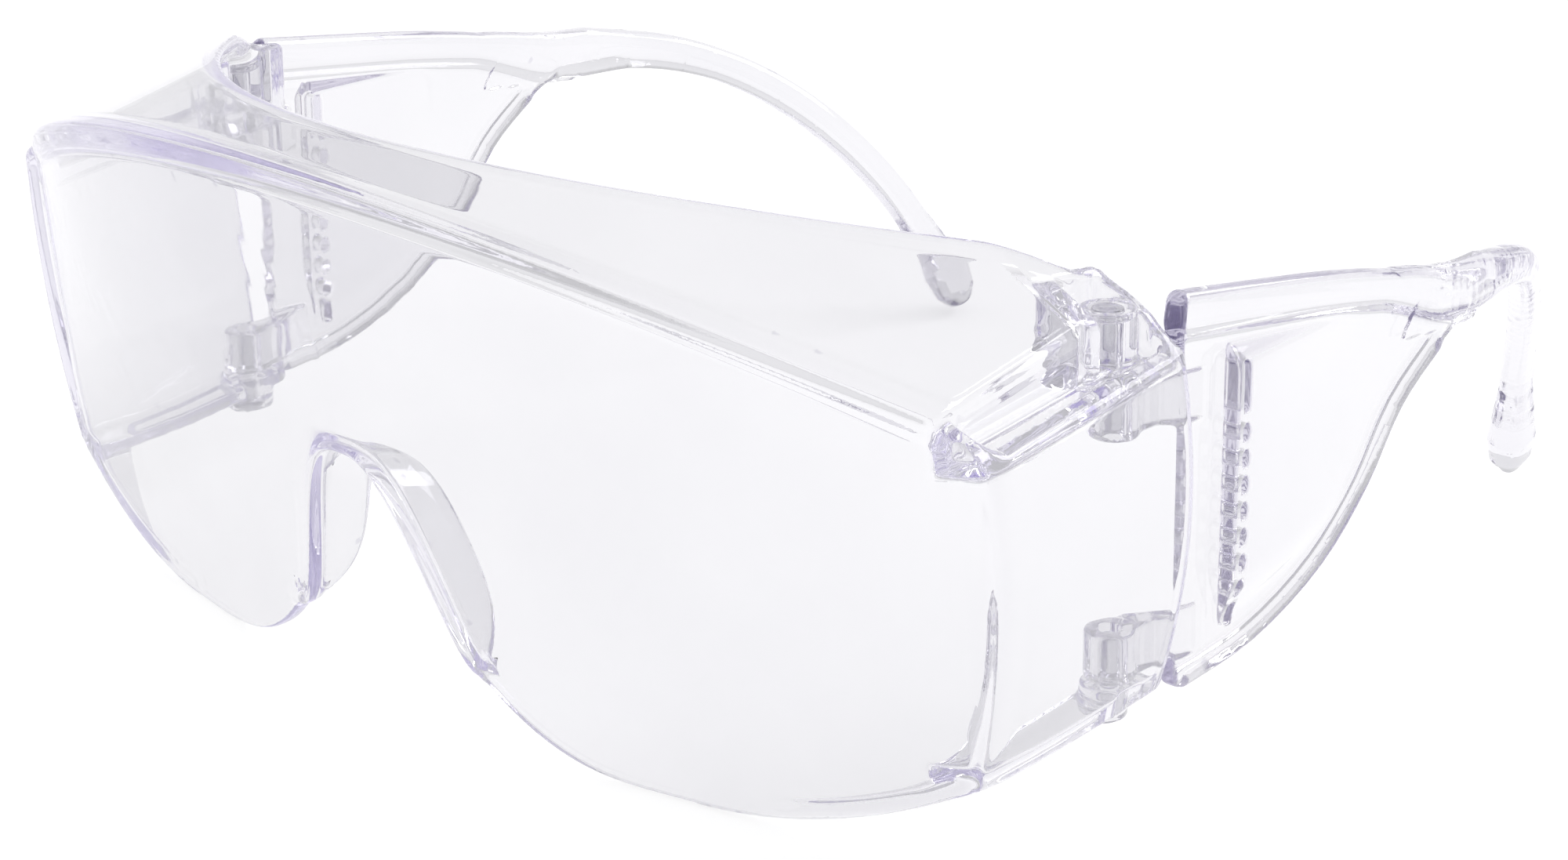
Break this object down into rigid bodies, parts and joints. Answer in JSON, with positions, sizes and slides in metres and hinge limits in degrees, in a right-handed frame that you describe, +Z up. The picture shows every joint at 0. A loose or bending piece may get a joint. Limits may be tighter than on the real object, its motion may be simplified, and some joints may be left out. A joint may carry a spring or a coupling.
{
  "type": "safety over-glasses",
  "caption": "Clear one-piece wraparound safety over-glasses with brow guard, side panels, moulded nose saddle and folding vented temples.",
  "frame": {"origin": "centre of the glasses' bounding box on the resting plane, which the two lens lobes and the two ear tips touch", "axes": "+Z up, -Y the way the wearer looks, +X the wearer's left; temples unfolded"},
  "size_m": [0.1646, 0.1696, 0.0708],
  "materials": {
    "clear_lens": "clear polished polycarbonate, faint violet at the edges",
    "clear_temple": "clear polished polycarbonate",
    "clear_pin": "clear moulded hinge pins"
  },
  "bodies": {
    "lens": {"lens": "clear_lens", "hinge_pin_left_lower": "clear_pin", "hinge_pin_left_upper": "clear_pin", "hinge_pin_right_lower": "clear_pin", "hinge_pin_right_upper": "clear_pin"},
    "temple_left": {"temple_left": "clear_temple"},
    "temple_right": {"temple_right": "clear_temple"}
  },
  "joints": [
    {"name": "fold_left", "type": "hinge", "parent": "lens", "child": "temple_left", "pos_m": [0.0737, -0.0312, 0.03], "axis": [0, 0, 1], "range_deg": [0, 90]},
    {"name": "fold_right", "type": "hinge", "parent": "lens", "child": "temple_right", "pos_m": [-0.0737, -0.0312, 0.03], "axis": [0, 0, -1], "range_deg": [0, 82]}
  ]
}
